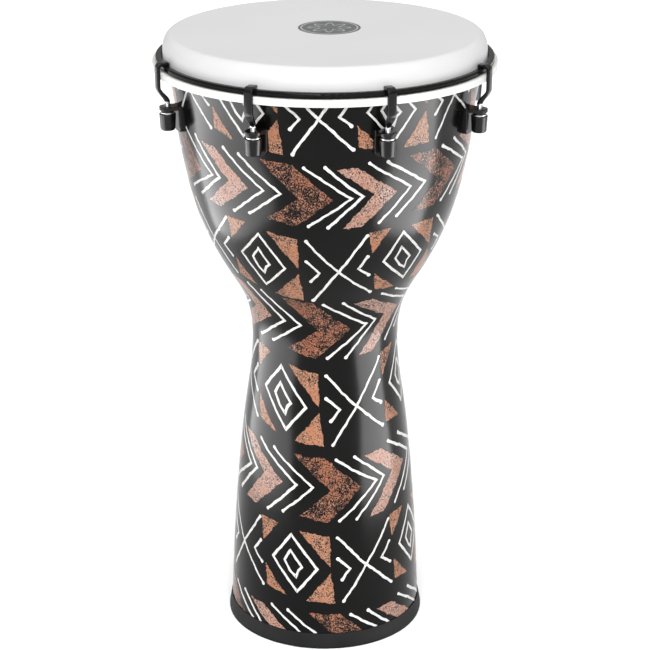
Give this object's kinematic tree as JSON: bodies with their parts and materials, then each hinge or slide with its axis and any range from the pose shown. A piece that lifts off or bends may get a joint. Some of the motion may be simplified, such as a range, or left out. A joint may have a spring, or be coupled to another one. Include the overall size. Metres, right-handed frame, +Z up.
{
  "type": "djembe",
  "caption": "Goblet hand drum with a moulded printed shell, synthetic head, counter hoop, hook tuning lugs with turning nuts, and a rubber foot ring.",
  "frame": {"origin": "centre of the foot ring's underside, on the ground", "axes": "+Z up along the drum's axis towards the head; -Y is the front, midway between two lugs"},
  "size_m": [0.346, 0.346, 0.6432],
  "materials": {
    "shell_lacquer": "black printed film under clear satin lacquer",
    "foot_rubber": "matte",
    "head_film": "white coated film",
    "hoop_white": "white gloss coat",
    "resin": "cast",
    "hoop_black": "black gloss powder coat",
    "badge": "printed grey",
    "zinc_steel": "bright zinc",
    "hook_black": "black powder coat",
    "bracket_black": "black powder coat",
    "cap_black": "satin"
  },
  "bodies": {
    "shell_body": {"shell": "shell_lacquer", "foot_ring": "foot_rubber", "bracket_screws": "zinc_steel", "bracket_washers": "zinc_steel", "hook_washers": "hook_black", "bracket_1": "bracket_black", "bracket_2": "bracket_black", "bracket_3": "bracket_black", "bracket_4": "bracket_black", "bracket_5": "bracket_black", "bracket_6": "bracket_black", "bracket_7": "bracket_black", "bracket_8": "bracket_black"},
    "head_assembly": {"drumhead": "head_film", "flesh_hoop": "hoop_white", "hoop_resin": "resin", "counter_hoop": "hoop_black", "head_badge": "badge", "tuning_hook_1": "hook_black", "tuning_hook_2": "hook_black", "tuning_hook_3": "hook_black", "tuning_hook_4": "hook_black", "tuning_hook_5": "hook_black", "tuning_hook_6": "hook_black", "tuning_hook_7": "hook_black", "tuning_hook_8": "hook_black"},
    "nut_body_1": {"tuning_nut_1": "zinc_steel", "nut_cap_1": "cap_black"},
    "nut_body_2": {"tuning_nut_2": "zinc_steel", "nut_cap_2": "cap_black"},
    "nut_body_3": {"tuning_nut_3": "zinc_steel", "nut_cap_3": "cap_black"},
    "nut_body_4": {"tuning_nut_4": "zinc_steel", "nut_cap_4": "cap_black"},
    "nut_body_5": {"tuning_nut_5": "zinc_steel", "nut_cap_5": "cap_black"},
    "nut_body_6": {"tuning_nut_6": "zinc_steel", "nut_cap_6": "cap_black"},
    "nut_body_7": {"tuning_nut_7": "zinc_steel", "nut_cap_7": "cap_black"},
    "nut_body_8": {"tuning_nut_8": "zinc_steel", "nut_cap_8": "cap_black"}
  },
  "joints": [
    {"name": "head_tension", "type": "slide", "parent": "shell_body", "child": "head_assembly", "axis": [0, 0, 1], "range_m": [0, 0.008]},
    {"name": "nut_turn_1", "type": "hinge", "parent": "shell_body", "child": "nut_body_1", "pos_m": [0.06341, -0.15309, 0.57], "axis": [0, 0, -1], "range_deg": [0, 2881]},
    {"name": "nut_turn_2", "type": "hinge", "parent": "shell_body", "child": "nut_body_2", "pos_m": [0.15309, -0.06341, 0.57], "axis": [0, 0, -1], "range_deg": [0, 2881]},
    {"name": "nut_turn_3", "type": "hinge", "parent": "shell_body", "child": "nut_body_3", "pos_m": [0.15309, 0.06341, 0.57], "axis": [0, 0, -1], "range_deg": [0, 2881]},
    {"name": "nut_turn_4", "type": "hinge", "parent": "shell_body", "child": "nut_body_4", "pos_m": [0.06341, 0.15309, 0.57], "axis": [0, 0, -1], "range_deg": [0, 2881]},
    {"name": "nut_turn_5", "type": "hinge", "parent": "shell_body", "child": "nut_body_5", "pos_m": [-0.06341, 0.15309, 0.57], "axis": [0, 0, -1], "range_deg": [0, 2881]},
    {"name": "nut_turn_6", "type": "hinge", "parent": "shell_body", "child": "nut_body_6", "pos_m": [-0.15309, 0.06341, 0.57], "axis": [0, 0, -1], "range_deg": [0, 2881]},
    {"name": "nut_turn_7", "type": "hinge", "parent": "shell_body", "child": "nut_body_7", "pos_m": [-0.15309, -0.06341, 0.57], "axis": [0, 0, -1], "range_deg": [0, 2881]},
    {"name": "nut_turn_8", "type": "hinge", "parent": "shell_body", "child": "nut_body_8", "pos_m": [-0.06341, -0.15309, 0.57], "axis": [0, 0, -1], "range_deg": [0, 2881]}
  ],
  "couplings": [
    {"joint": "nut_turn_1", "follows": "head_tension", "rad_per_m": 6283.2},
    {"joint": "nut_turn_2", "follows": "head_tension", "rad_per_m": 6283.2},
    {"joint": "nut_turn_3", "follows": "head_tension", "rad_per_m": 6283.2},
    {"joint": "nut_turn_4", "follows": "head_tension", "rad_per_m": 6283.2},
    {"joint": "nut_turn_5", "follows": "head_tension", "rad_per_m": 6283.2},
    {"joint": "nut_turn_6", "follows": "head_tension", "rad_per_m": 6283.2},
    {"joint": "nut_turn_7", "follows": "head_tension", "rad_per_m": 6283.2},
    {"joint": "nut_turn_8", "follows": "head_tension", "rad_per_m": 6283.2}
  ]
}
